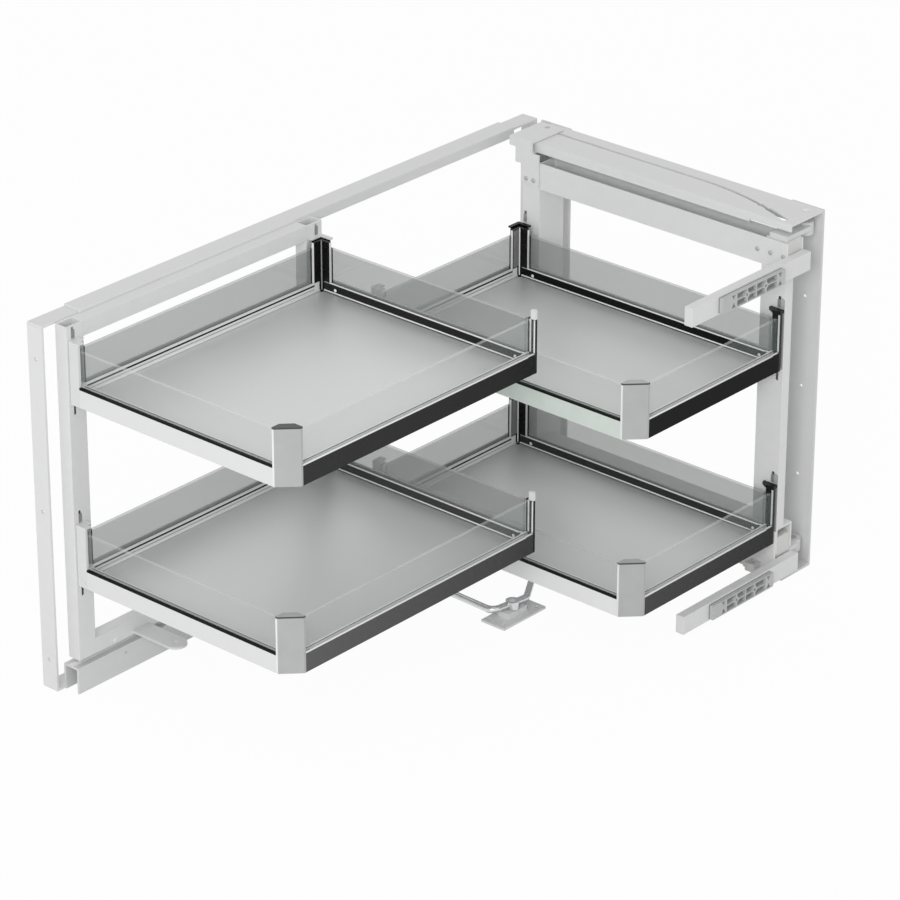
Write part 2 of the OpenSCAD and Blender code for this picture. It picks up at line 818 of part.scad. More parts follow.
module carriage_top_bar() color(sheet) {
  x0 = carriage_inset + post_w;
  z0 = carriage_top - top_bar_h;
  difference() {
    union() {
      translate(at(x0, carriage_front, z0)) run_x(carriage_w - 2 * post_w) difference() {
        square([post_d, top_bar_h]);
        translate([tube_t, tube_t]) square([post_d - 2 * tube_t, top_bar_h - 2 * tube_t]);
      }
      // tabs that reach under the lip and carry the guide rollers
      for (x = wheel_xs)
        block(at(x - 2 * roller_r, roller_d - roller_r, z0), at(x + 2 * roller_r, carriage_d, z0 + tab_t));
    }
    for (x = wheel_xs)
      peg_z(at(x, roller_d, z0 - overlap), roller_pin_r + bore_gap, tab_t + 2 * overlap);
  }
}

module carriage_bottom_bar() color(sheet) {
  x0 = carriage_inset + post_w;
  difference() {
    translate(at(x0, carriage_front, carriage_z)) run_x(carriage_w - 2 * post_w) difference() {
      square([post_d, bottom_bar_h]);
      translate([tube_t, -tube_t]) square([post_d - 2 * tube_t, bottom_bar_h]);
    }
    for (x = wheel_xs)
      peg_y(at(x, carriage_front + overlap, axle_z), axle_r, post_d + 2 * overlap);
  }
}

module carriage_axles() color("silver") {
  z0 = carriage_top - top_bar_h;
  for (x = wheel_xs) {
    peg_y(at(x, carriage_front, axle_z), axle_r, post_d);
    peg_z(at(x, roller_d, z0), roller_pin_r, roller_z + roller_h - z0);
    // collar under the guide roller
    peg_z(at(x, roller_d, z0 + tab_t), roller_pin_r + 2 * run_gap, roller_z - z0 - tab_t - seat_gap);
  }
}

module carriage_tongue() color(steel) {
  x = carriage_inset + tongue_x;
  z = axle_z - tongue_t / 2;
  tip = carriage_front + tongue_len - tongue_w / 2;
  difference() {
    union() {
      block(at(x - tongue_w / 2, carriage_front, z), at(x + tongue_w / 2, tip, z + tongue_t));
      peg_z(at(x, tip, z), tongue_w / 2, tongue_t);
    }
    peg_z(at(x, tip, z - overlap), axle_r, tongue_t + 2 * overlap);
  }
}

// Grooved wheel on the half-round track
module track_wheel(x) {
  translate(at(x, carriage_mid, axle_z)) rotate([90, 0, 0]) rotate_extrude($fn = 72)
    difference() {
      translate([axle_r + bore_gap, -wheel_w / 2]) square([wheel_r - axle_r - bore_gap, wheel_w]);
      translate([tread_r + track_r + run_gap, 0]) circle(r = track_r + run_gap);
    }
}

module left_wheel() color(nylon) track_wheel(wheel_xs[0]);
module right_wheel() color(nylon) track_wheel(wheel_xs[1]);

module guide_roller(x) {
  difference() {
    peg_z(at(x, roller_d, roller_z), roller_r, roller_h);
    peg_z(at(x, roller_d, roller_z - overlap), roller_pin_r + bore_gap, roller_h + 2 * overlap);
  }
}

module left_roller() color(nylon) guide_roller(wheel_xs[0]);
module right_roller() color(nylon) guide_roller(wheel_xs[1]);

// Lever on the cabinet floor

module floor_plate() color(steel) {
  edge = 3 * screw_hole_r;
  difference() {
    block(at(plate_x, plate_d, 0), at(plate_x + plate_len, plate_d + plate_w, plate_t));
    for (x = [plate_x + edge, plate_x + plate_len - edge])
      for (d = [plate_d + edge, plate_d + plate_w - edge])
        peg_z(at(x, d, -overlap), screw_hole_r, plate_t + 2 * overlap);
  }
}

module pivot_block() color(steel) {
  block(at(hub_x - 2 * hub_r, hub_d - hub_r - run_gap, plate_t), at(hub_x + 2 * hub_r, hub_d + hub_r + run_gap, plate_t + block_h));
  peg_z(at(hub_x, hub_d, plate_t + block_h), pivot_r, hub_h + 2 * run_gap);
}

module lever_rod() color("silver") {
  hub = at(hub_x, hub_d, rod_z);
  elbow = hub + [-elbow_x, elbow_y, 0];
  long_tip = elbow + [long_lean, long_arm, 0];
  knee = hub + [knee_x, -knee_y, 0];
  short_tip = knee + [short_x, short_y, short_rise];
  difference() {
    union() {
      peg_z(at(hub_x, hub_d, hub_z), hub_r, hub_h);
      elbow_len = bend_len(elbow, long_tip, knee) - overlap / 2;
      knee_len = bend_len(knee, elbow, short_tip) - overlap / 2;
      rod(long_tip, elbow + unit(long_tip - elbow) * elbow_len);
      rod_bend(elbow, long_tip, knee);
      rod(elbow + unit(knee - elbow) * elbow_len, knee + unit(elbow - knee) * knee_len);
      rod_bend(knee, elbow, short_tip);
      rod(knee + unit(short_tip - knee) * knee_len, short_tip);
    }
    peg_z(at(hub_x, hub_d, hub_z - rod_r), pivot_r + bore_gap, hub_h + 2 * rod_r);
  }
}

// Trays: drawn from the front left corner of the underside, with the front along X

// Crowned top of the strip on either side of the glass
module rail_strip_top() intersection() {
  translate([0, tray_rail_h - glass_groove]) square([rail_strip, glass_groove]);
  translate([rail_strip / 2, tray_rail_h - crown_r]) circle(r = crown_r);
}

module tray_rail_profile() {
  wall = tube_t;
  for (x = [0, tray_rail_w - rail_strip]) translate([x, 0]) rail_strip_top();
  // bead that hides the edge of the floor
  translate([tray_rail_w, floor_z + floor_t + seat_gap + floor_bead_r]) circle(r = floor_bead_r);
  difference() {
    square([tray_rail_w, tray_rail_h - 2 * rail_crown]);
    translate([rail_strip, tray_rail_h - glass_groove]) square([glass_slot, glass_groove + overlap]);
    translate([tray_rail_w - floor_groove, floor_z - seat_gap]) square([floor_groove + overlap, floor_t + 2 * seat_gap]);
    translate([wall, wall])
      square([tray_rail_w - floor_groove - 2 * wall, tray_rail_h - glass_groove - 2 * wall]);
  }
}

module tray_light_rails(w, d) color("silver") {
  translate([0, front_corner_w, 0]) run_y(d - front_corner_w - corner_w) tray_rail_profile();
  translate([corner_w, d, 0]) mirror([0, 1, 0]) run_x(w - 2 * corner_w) tray_rail_profile();
}

module tray_dark_rails(w, d) color([0.15, 0.15, 0.16]) {
  translate([front_corner_w, 0, 0]) run_x(w - front_corner_w - corner_w) tray_rail_profile();
  translate([w, corner_w, 0]) mirror([1, 0, 0]) run_y(d - 2 * corner_w) tray_rail_profile();
}

// Slots for the glass on the two inner sides of a post
module glass_slots(side) {
  low = (tray_rail_w - glass_slot) / 2;
  translate([side - post_slot, low]) square([post_slot + overlap, glass_slot]);
  translate([low, side - post_slot]) square([glass_slot, post_slot + overlap]);
}

module front_post_outline() polygon([
  [front_chamfer, 0], [front_corner_w, 0], [front_corner_w, tray_rail_w],
  [tray_rail_w, front_corner_w], [0, front_corner_w], [0, front_chamfer]
]);

module tray_front_post() color("lightgray") linear_extrude(front_corner_h - cap_t) difference() {
  front_post_outline();
  glass_slots(front_corner_w);
}

module corner_outline() {
  c = corner_chamfer;
  w = corner_w;
  polygon([[c, 0], [w - c, 0], [w, c], [w, w - c], [w - c, w], [c, w], [0, w - c], [0, c]]);
}

module tray_corner_post() {
  linear_extrude(corner_h - cap_t) difference() {
    corner_outline();
    glass_slots(corner_w);
  }
  translate([0, 0, corner_h - cap_t]) linear_extrude(cap_t) corner_outline();
}

module tray_corner_posts(w, d) color([0.08, 0.08, 0.08]) {
  translate([w, 0, 0]) mirror([1, 0, 0]) tray_corner_post();
  translate([0, d, 0]) mirror([0, 1, 0]) tray_corner_post();
  translate([w, d, 0]) rotate([0, 0, 180]) tray_corner_post();
  // cap of the chamfered front post
  translate([0, 0, front_corner_h - cap_t]) linear_extrude(cap_t) front_post_outline();
}

module tray_floor(w, d) color([0.74, 0.75, 0.75]) {
  in = tray_rail_w - floor_groove + seat_gap;
  notch = corner_w + seat_gap;
  front_notch = front_corner_w + seat_gap;
  translate([0, 0, floor_z]) linear_extrude(floor_t) difference() {
    translate([in, in]) square([w - 2 * in, d - 2 * in]);
    square(front_notch);
    for (p = [[w - notch, 0], [0, d - notch], [w - notch, d - notch]]) translate(p) square(notch);
  }
}

module tray_glass(w, d) color([0.8, 0.9, 0.87, 0.5]) {
  z = tray_rail_h - glass_groove + seat_gap;
  h = glass_top - z;
  low = (tray_rail_w - glass_t) / 2;
  from_front = front_corner_w - post_slot + seat_gap;
  from_corner = corner_w - post_slot + seat_gap;
  translate([low, from_front, z]) cube([glass_t, d - from_front - from_corner, h]);
  translate([from_front, low, z]) cube([w - from_front - from_corner, glass_t, h]);
  translate([w - low - glass_t, from_corner, z]) cube([glass_t, d - 2 * from_corner, h]);
  translate([from_corner, d - low - glass_t, z]) cube([w - 2 * from_corner, glass_t, h]);
}

// Places of the two kinds of tray
module in_rear_tray(z) translate(at(rear_tray_inset, rear_tray_back + rear_tray_d, z)) children();
module in_front_tray(z) translate(at(front_tray_x, front_tray_front, z)) children();

module rear_upper_floor() in_rear_tray(rear_upper_z) tray_floor(rear_tray_w, rear_tray_d);
module rear_upper_light_rails() in_rear_tray(rear_upper_z) tray_light_rails(rear_tray_w, rear_tray_d);
module rear_upper_dark_rails() in_rear_tray(rear_upper_z) tray_dark_rails(rear_tray_w, rear_tray_d);
module rear_upper_front_post() in_rear_tray(rear_upper_z) tray_front_post();
module rear_upper_corner_posts() in_rear_tray(rear_upper_z) tray_corner_posts(rear_tray_w, rear_tray_d);
module rear_upper_glass() in_rear_tray(rear_upper_z) tray_glass(rear_tray_w, rear_tray_d);

module rear_lower_floor() in_rear_tray(rear_lower_z) tray_floor(rear_tray_w, rear_tray_d);
module rear_lower_light_rails() in_rear_tray(rear_lower_z) tray_light_rails(rear_tray_w, rear_tray_d);
module rear_lower_dark_rails() in_rear_tray(rear_lower_z) tray_dark_rails(rear_tray_w, rear_tray_d);
module rear_lower_front_post() in_rear_tray(rear_lower_z) tray_front_post();
module rear_lower_corner_posts() in_rear_tray(rear_lower_z) tray_corner_posts(rear_tray_w, rear_tray_d);
module rear_lower_glass() in_rear_tray(rear_lower_z) tray_glass(rear_tray_w, rear_tray_d);

module front_upper_floor() in_front_tray(front_upper_z) tray_floor(front_tray_w, front_tray_d);
module front_upper_light_rails() in_front_tray(front_upper_z) tray_light_rails(front_tray_w, front_tray_d);
module front_upper_dark_rails() in_front_tray(front_upper_z) tray_dark_rails(front_tray_w, front_tray_d);
module front_upper_front_post() in_front_tray(front_upper_z) tray_front_post();
module front_upper_corner_posts() in_front_tray(front_upper_z) tray_corner_posts(front_tray_w, front_tray_d);
module front_upper_glass() in_front_tray(front_upper_z) tray_glass(front_tray_w, front_tray_d);

module front_lower_floor() in_front_tray(front_lower_z) tray_floor(front_tray_w, front_tray_d);
module front_lower_light_rails() in_front_tray(front_lower_z) tray_light_rails(front_tray_w, front_tray_d);
module front_lower_dark_rails() in_front_tray(front_lower_z) tray_dark_rails(front_tray_w, front_tray_d);
module front_lower_front_post() in_front_tray(front_lower_z) tray_front_post();
module front_lower_corner_posts() in_front_tray(front_lower_z) tray_corner_posts(front_tray_w, front_tray_d);
module front_lower_glass() in_front_tray(front_lower_z) tray_glass(front_tray_w, front_tray_d);

// Hook with its arm along -Y, drawn from the face that it stands on
module tray_hook(reach) {
  lip_t = hook_w;
  arm = reach + tube_t + run_gap + lip_t;
  translate([-hook_w / 2, 0, 0]) cube([hook_w, arm, hook_h]);
  translate([-hook_w / 2, arm - lip_t, -hook_drop / 2]) cube([hook_w, lip_t, hook_drop]);
}

module rear_tray_hooks() color("dimgray")
  for (x = rear_hook_xs)
    for (tray_z = [rear_lower_z, rear_upper_z])
      translate(at(x, rear_tray_back, tray_z + hook_z)) tray_hook(rear_tray_back - carriage_front);

module front_tray_hooks() color("dimgray")
  for (d = [front_hook_d, rear_hook_d])
    for (tray_z = [front_lower_z, front_upper_z])
      translate(at(front_tray_x + front_tray_w, d, tray_z + hook_z))
        rotate([0, 0, -90]) tray_hook(swing_left - front_tray_x - front_tray_w);

ring_uprights();
ring_cross_strips();
rear_top_rail();
rear_bottom_rail();
side_cover();
side_uprights();
side_base_plate();
hinge_pins();
floor_plate();
pivot_block();
guide_arms();
guide_bushes();
guide_shoes();
swing_front_post();
swing_rear_post();
swing_top_beam();
swing_bottom_beam();
saddle_bracket();
lower_bracket();
stop_block();
frame_screws();
door_arms();
door_adapters();
carriage_posts();
carriage_top_bar();
carriage_bottom_bar();
carriage_axles();
carriage_tongue();
left_wheel();
right_wheel();
left_roller();
right_roller();
lever_rod();
rear_upper_floor();
rear_upper_light_rails();
rear_upper_dark_rails();
rear_upper_front_post();
rear_upper_corner_posts();
rear_upper_glass();
rear_lower_floor();
rear_lower_light_rails();
rear_lower_dark_rails();
rear_lower_front_post();
rear_lower_corner_posts();
rear_lower_glass();
front_upper_floor();
front_upper_light_rails();
front_upper_dark_rails();
front_upper_front_post();
front_upper_corner_posts();
front_upper_glass();
front_lower_floor();
front_lower_light_rails();
front_lower_dark_rails();
front_lower_front_post();
front_lower_corner_posts();
front_lower_glass();
rear_tray_hooks();
front_tray_hooks();
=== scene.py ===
# Looks of the blind corner pull out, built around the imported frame
import json
import math

import bmesh
import bpy
from mathutils import Matrix, Vector

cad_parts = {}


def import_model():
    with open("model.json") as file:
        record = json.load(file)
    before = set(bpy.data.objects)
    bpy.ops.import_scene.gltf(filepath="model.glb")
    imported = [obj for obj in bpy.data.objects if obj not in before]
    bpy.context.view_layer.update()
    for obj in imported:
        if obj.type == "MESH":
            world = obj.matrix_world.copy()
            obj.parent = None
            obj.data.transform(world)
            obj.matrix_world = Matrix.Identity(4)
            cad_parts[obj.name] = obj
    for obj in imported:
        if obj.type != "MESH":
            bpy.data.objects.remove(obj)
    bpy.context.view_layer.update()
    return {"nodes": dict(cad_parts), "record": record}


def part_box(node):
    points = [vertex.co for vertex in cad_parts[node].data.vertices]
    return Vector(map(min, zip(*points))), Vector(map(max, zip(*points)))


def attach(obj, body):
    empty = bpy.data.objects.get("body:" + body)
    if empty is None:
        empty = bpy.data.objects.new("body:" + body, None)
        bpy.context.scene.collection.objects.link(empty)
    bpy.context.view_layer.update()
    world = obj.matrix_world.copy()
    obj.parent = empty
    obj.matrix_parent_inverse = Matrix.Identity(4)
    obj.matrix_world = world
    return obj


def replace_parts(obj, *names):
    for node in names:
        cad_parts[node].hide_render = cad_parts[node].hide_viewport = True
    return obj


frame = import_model()
nodes = frame["nodes"]

MM = 0.001
X = Vector((1, 0, 0))
Y = Vector((0, 1, 0))
Z = Vector((0, 0, 1))
TRAY_NAMES = ("rear_upper", "rear_lower", "front_upper", "front_lower")

# Sizes of a tray in millimetres, heights from its underside

RAIL_W = 12
RAIL_H = 25
# wall of a rail on each side of the groove for its pane
STRIP = 3.3
# inner side of that groove from the tray's edge, and the groove's floor
PANE_IN = RAIL_W - STRIP
GROOVE_Z = 19
FLOOR_TOP = 12
PANE_TOP = 68
# side of a square corner post, and leg of the chamfered front post
POST = 16
FRONT_POST = 24
FRONT_POST_TOP = 70
POST_TOP = 77
CAP_H = 2
CAP_TOP = POST_TOP + CAP_H
# outer edge cut off a post
CUT = 1.2
# reach of the back right post's inner angle along both panes
LEG = 25
# thickness of the flat front right post, and its top without the cap
BAR = 4.3
REAR_BAR_TOP = PANE_TOP
FRONT_BAR_TOP = 75

# Blocks that materials are made of

BLUR = 0.2 * MM
NOISE_LOW = 0.3
NOISE_HIGH = 0.7
ROUGH_SHARE = 0.12
BUMP_HEIGHT = 0.2 * MM


def new_material(name):
    mat = bpy.data.materials.new(name)
    mat.use_nodes = True
    tree = mat.node_tree
    shader = tree.nodes["Principled BSDF"]
    return mat, tree, shader


def noise_value(tree, scale, detail):
    """A noise texture in the object's own space, in metres."""
    coord = tree.nodes.new("ShaderNodeTexCoord")
    noise = tree.nodes.new("ShaderNodeTexNoise")
    noise.inputs["Scale"].default_value = scale
    noise.inputs["Detail"].default_value = detail
    tree.links.new(coord.outputs["Object"], noise.inputs["Vector"])
    return noise.outputs["Fac"]


def coordinate(tree, kind, axis):
    """One axis of the object's own space: of the place (Object) or of the surface's direction (Normal)."""
    coord = tree.nodes.new("ShaderNodeTexCoord")
    split = tree.nodes.new("ShaderNodeSeparateXYZ")
    tree.links.new(coord.outputs[kind], split.inputs["Vector"])
    return split.outputs[axis]


def mapped(tree, value, start, end, low=0.0, high=1.0):
    """A value that runs from start to end, mapped to run from low to high and held beyond them."""
    node = tree.nodes.new("ShaderNodeMapRange")
    node.inputs["From Min"].default_value = start
    node.inputs["From Max"].default_value = end
    node.inputs["To Min"].default_value = low
    node.inputs["To Max"].default_value = high
    tree.links.new(value, node.inputs["Value"])
    return node.outputs["Result"]


def spread(tree, noise, low, high):
    """Noise mapped to a narrow range."""
    return mapped(tree, noise, NOISE_LOW, NOISE_HIGH, low, high)


def reckoned(tree, operation, *values):
    """The result of a math operation on one or two values."""
    node = tree.nodes.new("ShaderNodeMath")
    node.operation = operation
    for socket, value in zip(node.inputs, values):
        tree.links.new(value, socket)
    return node.outputs[0]


def either(tree, one, other):
    return reckoned(tree, "MAXIMUM", one, other)


def both(tree, one, other):
    return reckoned(tree, "MULTIPLY", one, other)


def mixed(tree, factor, first, second, kind="RGBA"):
    """A mix of two colours or numbers, each a fixed one or the output of a node."""
    node = tree.nodes.new("ShaderNodeMix")
    node.data_type = kind
    tree.links.new(factor, node.inputs["Factor"])
    for socket, value in (("A", first), ("B", second)):
        if isinstance(value, bpy.types.NodeSocket):
            tree.links.new(value, node.inputs[socket])
        elif kind == "RGBA":
            node.inputs[socket].default_value = (*value, 1)
        else:
            node.inputs[socket].default_value = value
    return node.outputs["Result"]


def clouded(tree, noise, colour, share):
    """A colour that the noise makes darker and lighter by a share."""
    dark = tuple(c * (1 - share) for c in colour)
    light = tuple(min(c * (1 + share), 1) for c in colour)
    return mixed(tree, spread(tree, noise, 0, 1), dark, light)


def facing(tree, axis, low, high, absolute=False):
    """1 where the surface faces along an axis of the object, 0 elsewhere."""
    value = coordinate(tree, "Normal", axis)
    if absolute:
        value = reckoned(tree, "ABSOLUTE", value)
    return mapped(tree, value, low, high)


def beyond(tree, axis, place):
    """1 where the object's own coordinate lies past a place, 0 before it."""
    return mapped(tree, coordinate(tree, "Object", axis), place - BLUR, place + BLUR)


def before(tree, axis, place):
    """1 where the object's own coordinate lies before a place, 0 past it."""
    return mapped(tree, coordinate(tree, "Object", axis), place + BLUR, place - BLUR)


# Kinds of material


def finish_material(name, colour, rough, metal=0.0, vary=0.02, grain=60, bump=0.0, bump_scale=900,
                    gloss=0.5):
    """A surface whose colour and roughness vary a little, with a fine bump."""
    mat, tree, shader = new_material(name)
    shader.inputs["Metallic"].default_value = metal
    shader.inputs["Specular IOR Level"].default_value = gloss
    cloud = noise_value(tree, grain, 4)
    tree.links.new(clouded(tree, cloud, colour, vary), shader.inputs["Base Color"])
    roughness = spread(tree, cloud, rough * (1 - ROUGH_SHARE), rough * (1 + ROUGH_SHARE))
    tree.links.new(roughness, shader.inputs["Roughness"])
    if bump:
        node = tree.nodes.new("ShaderNodeBump")
        node.inputs["Strength"].default_value = bump
        node.inputs["Distance"].default_value = BUMP_HEIGHT
        tree.links.new(noise_value(tree, bump_scale, 2), node.inputs["Height"])
        tree.links.new(node.outputs["Normal"], shader.inputs["Normal"])
    return mat


def two_part_material(name, mask_of, first, second, grain=50, vary=0.03):
    """Two colours on one piece: first where the mask is 0, second where it is 1; in each use here the
    second is a painted reflection on the faces that the mask picks.

    Each is (colour, roughness).
    """
    mat, tree, shader = new_material(name)
    mask = mask_of(tree)
    cloud = noise_value(tree, grain, 4)
    colours = [clouded(tree, cloud, tone_and_rough[0], vary) for tone_and_rough in (first, second)]
    tree.links.new(mixed(tree, mask, *colours), shader.inputs["Base Color"])
    tree.links.new(mapped(tree, mask, 0, 1, first[1], second[1]), shader.inputs["Roughness"])
    return mat


def glass_material(name, right_x, back_y):
    """Clear pane with a pale green cast; the back and right panes get a painted grey shade, and the top
    edges a painted pale highlight.
    """
    near_dark = (0.44, 0.50, 0.475)
    near_light = (0.47, 0.53, 0.505)
    # painted grey shade of the back and right panes, which are the same glass as the near ones
    far_shade_dark = (0.31, 0.33, 0.324)
    far_shade_light = (0.34, 0.36, 0.354)
    # painted pale highlight on the top edges
    edge = (0.78, 0.82, 0.80)
    near_cover = 0.09
    far_shade_cover = 0.48
    edge_highlight_cover = 0.32
    mat, tree, shader = new_material(name)
    # the top edges take the painted highlight, the back and right panes the painted shade
    top = facing(tree, "Z", 0.5, 0.8)
    far_shade = either(tree, beyond(tree, "X", right_x), beyond(tree, "Y", back_y))
    cloud = noise_value(tree, 8, 2)
    near_colour = mixed(tree, cloud, near_dark, near_light)
    far_shade_colour = mixed(tree, cloud, far_shade_dark, far_shade_light)
    colour = mixed(tree, top, mixed(tree, far_shade, near_colour, far_shade_colour), edge)
    tree.links.new(colour, shader.inputs["Base Color"])
    body_cover = mapped(tree, far_shade, 0, 1, near_cover, far_shade_cover)
    tree.links.new(mixed(tree, top, body_cover, edge_highlight_cover, "FLOAT"), shader.inputs["Alpha"])
    shader.inputs["Roughness"].default_value = 0.04
    return mat


def dark_rail_material(name, low, right_x, left_reflection_tone, right_reflection_tone):
    """Black gloss rail with a painted reflection: a tone that runs from its left end to its right, and a
    painted bright reflection on its upward faces and in the front groove.
    """
    margin = 0.8
    groove_start = low.y + (STRIP - margin) * MM
    groove_end = low.y + (PANE_IN + margin) * MM
    groove_floor = low.z + (GROOVE_Z - 0.2) * MM
    mat, tree, shader = new_material(name)
    shader.inputs["Specular IOR Level"].default_value = 0.04
    # painted reflection tone, from the left end's tone to the right end's
    along = mapped(tree, coordinate(tree, "Object", "X"), low.x, right_x)
    body = mixed(tree, along, (left_reflection_tone,) * 3, (right_reflection_tone,) * 3)
    groove = both(tree, beyond(tree, "Y", groove_start), before(tree, "Y", groove_end))
    groove = both(tree, groove, beyond(tree, "Z", groove_floor))
    # painted bright reflection on the upward faces and in the groove
    top = either(tree, facing(tree, "Z", 0.15, 0.25), groove)
    tree.links.new(mixed(tree, top, body, BRIGHT_REFLECTION), shader.inputs["Base Color"])
    tree.links.new(spread(tree, noise_value(tree, 90, 3), 0.24, 0.32), shader.inputs["Roughness"])
    return mat


# Materials of the part

POWDER_COAT = {"rough": 0.5, "vary": 0.012, "bump": 0.1, "bump_scale": 1600}
MOULDED = {"bump": 0.2, "bump_scale": 2200}
POLISHED = {"rough": 0.3, "vary": 0.004, "grain": 5}
# bright painted reflection, on the dark rails' tops and grooves and on the front posts' side faces
BRIGHT_REFLECTION = (0.84, 0.845, 0.845)

POWDER = finish_material("white_powder", (0.74, 0.743, 0.743), **POWDER_COAT)
SIDE_GREY = finish_material("grey_powder", (0.68, 0.684, 0.684), **POWDER_COAT)
ZINC = finish_material("bright_zinc", (0.66, 0.67, 0.68), 0.24, metal=1.0, vary=0.06, grain=180)
NYLON = finish_material("nylon", (0.66, 0.66, 0.645), 0.5, vary=0.03, bump=0.1, bump_scale=700)
ADAPTER = finish_material("adapter_plastic", (0.50, 0.505, 0.505), 0.5, vary=0.04, **MOULDED)
# darker back plate of the adapters: painted shade in their pockets
ADAPTER_POCKET_SHADE = finish_material("adapter_back_shade", (0.24, 0.243, 0.245), 0.55, vary=0.06, **MOULDED)
BOARD = finish_material("board", (0.70, 0.708, 0.704), 0.40, metal=0.45, vary=0.015, grain=7, bump=0.04,
                        bump_scale=2500)
LIGHT_RAIL = finish_material("silver_rail", (0.74, 0.744, 0.744), **POLISHED)
# lighter copy of the silver rail: painted light that offsets the shade on the front lower tray's light
# rails
PAINTED_LIGHT_RAIL = finish_material("painted_light_rail", (0.84, 0.844, 0.844), **POLISHED)
GREEN_LINE = finish_material("pale_green_line", (0.56, 0.62, 0.585), 0.28, vary=0.02, grain=30)
GREY_FACE = finish_material("grey_face", (0.24, 0.242, 0.242), 0.3, vary=0.05)
DARK_LINE = finish_material("dark_line", (0.07, 0.071, 0.071), 0.4, vary=0.1, gloss=0.2)
# black of the seals and pane ends, and of the painted shade lines on the back rails
GASKET_AND_SHADE_BLACK = finish_material("gasket_and_shade", (0.004, 0.004, 0.004), 0.5, vary=0.2, bump=0.2, gloss=0.1)
BLACK_POST = finish_material("black_post", (0.007, 0.007, 0.007), 0.28, vary=0.2, gloss=0.2)
PALE_POST = finish_material("pale_post", (0.70, 0.715, 0.71), 0.3, vary=0.02)
WHITE_CAP = finish_material("white_cap", (0.74, 0.745, 0.74), 0.35, vary=0.02)
DARK_CAP = finish_material("dark_cap", (0.060, 0.064, 0.062), 0.3, vary=0.1, gloss=0.3)
SCREW = finish_material("screw", (0.80, 0.80, 0.79), 0.3, vary=0.03, grain=400)
DARK_SCREW = finish_material("dark_screw", (0.46, 0.463, 0.465), 0.4, metal=0.2, vary=0.08, grain=400)
HOOK = finish_material("hook", (0.28, 0.283, 0.283), 0.4, metal=0.3, vary=0.05, grain=300)
HOOK_BAND = finish_material("hook_band", (0.46, 0.464, 0.464), 0.4, metal=0.2, vary=0.04, grain=300)
CHROME = finish_material("chrome", (0.82, 0.825, 0.825), 0.2, vary=0.01, grain=40)

SATIN = ((0.42, 0.428, 0.424), 0.40)
# painted bright reflection for the front posts' side faces
BRIGHT_SIDE_REFLECTION = (BRIGHT_REFLECTION, 0.25)
SILVER = ((0.78, 0.785, 0.785), 0.28)
# painted pale green reflection for a rail's side faces
PALE_GREEN_REFLECTION = ((0.68, 0.75, 0.70), 0.28)
# painted reflection for a dark cap's top faces
TOP_REFLECTION_GREY = ((0.44, 0.447, 0.444), 0.4)
DARK_SIDE = ((0.045, 0.046, 0.046), 0.4)


def sideways(tree):
    """1 on faces that look left or right."""
    return facing(tree, "X", 0.85, 0.95, absolute=True)


def upwards(tree):
    """1 on faces that look up."""
    return facing(tree, "Z", 0.6, 0.8)


# front upper tray's light rails: silver, with a painted pale green reflection on the faces that look left
# or right
GREEN_REFLECTION_RAIL = two_part_material("green_reflection_rail", sideways, SILVER, PALE_GREEN_REFLECTION)
# dark cap with a painted pale reflection on its upward faces
TOP_REFLECTION_CAP = two_part_material("top_reflection_cap", upwards, DARK_SIDE, TOP_REFLECTION_GREY)
# front posts: satin, with a painted bright reflection on the faces that look left or right
SATIN_POST_SIDE_REFLECTION = two_part_material("satin_post", sideways, SATIN, BRIGHT_SIDE_REFLECTION)

# every pane of this glass counts as a near one, without the painted grey shade of the back and right panes,
# since no pane reaches so many metres out
OUT_OF_REACH = 10
NEAR_GLASS = glass_material("near_glass", OUT_OF_REACH, OUT_OF_REACH)

# painted reflection tone of each tray's dark front rail at its left and right end, lighter on the lower
# trays
RAIL_REFLECTION_TONES = {
    "rear_upper": (0.040, 0.020),
    "rear_lower": (0.125, 0.056),
    "front_upper": (0.010, 0.008),
    "front_lower": (0.076, 0.034),
}
SLOT_MATERIAL = {
    "white_steel": POWDER,
    "grey_steel": SIDE_GREY,
    "bright_steel": ZINC,
    "nylon": NYLON,
    "adapter_grey": ADAPTER,
    "tray_board": BOARD,
    "light_rail": LIGHT_RAIL,
    "satin_post": SATIN_POST_SIDE_REFLECTION,
    "black_post": BLACK_POST,
}
# nodes whose look differs from that of their slot
NODE_MATERIAL = {
    "frame_screws": DARK_SCREW,
    "floor_plate": POWDER,
    "pivot_block": POWDER,
    "rear_tray_hooks": HOOK,
    "front_tray_hooks": HOOK,
    "front_upper_light_rails": GREEN_REFLECTION_RAIL,
    # painted light on the front lower tray's light rails, against the shade that falls there
    "front_lower_light_rails": PAINTED_LIGHT_RAIL,
}
for tray_name in TRAY_NAMES:
    tray_low, tray_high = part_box(f"{tray_name}_corner_posts")
    far_x = tray_high.x - RAIL_W * MM
    far_y = tray_high.y - RAIL_W * MM
    reflection_tones = RAIL_REFLECTION_TONES[tray_name]
    rail = dark_rail_material(f"{tray_name}_dark_rail", tray_low, tray_high.x, *reflection_tones)
    NODE_MATERIAL[f"{tray_name}_glass"] = glass_material(f"{tray_name}_glass", far_x, far_y)
    NODE_MATERIAL[f"{tray_name}_dark_rails"] = rail

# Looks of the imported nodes

# width of the rounded edges of each slot's pieces, in millimetres
EDGE_WIDTH = {
    "white_steel": 0.5,
    "grey_steel": 0.4,
    "light_rail": 0.3,
    "dark_rail": 0.3,
    "satin_post": 0.3,
    "adapter_grey": 0.2,
}


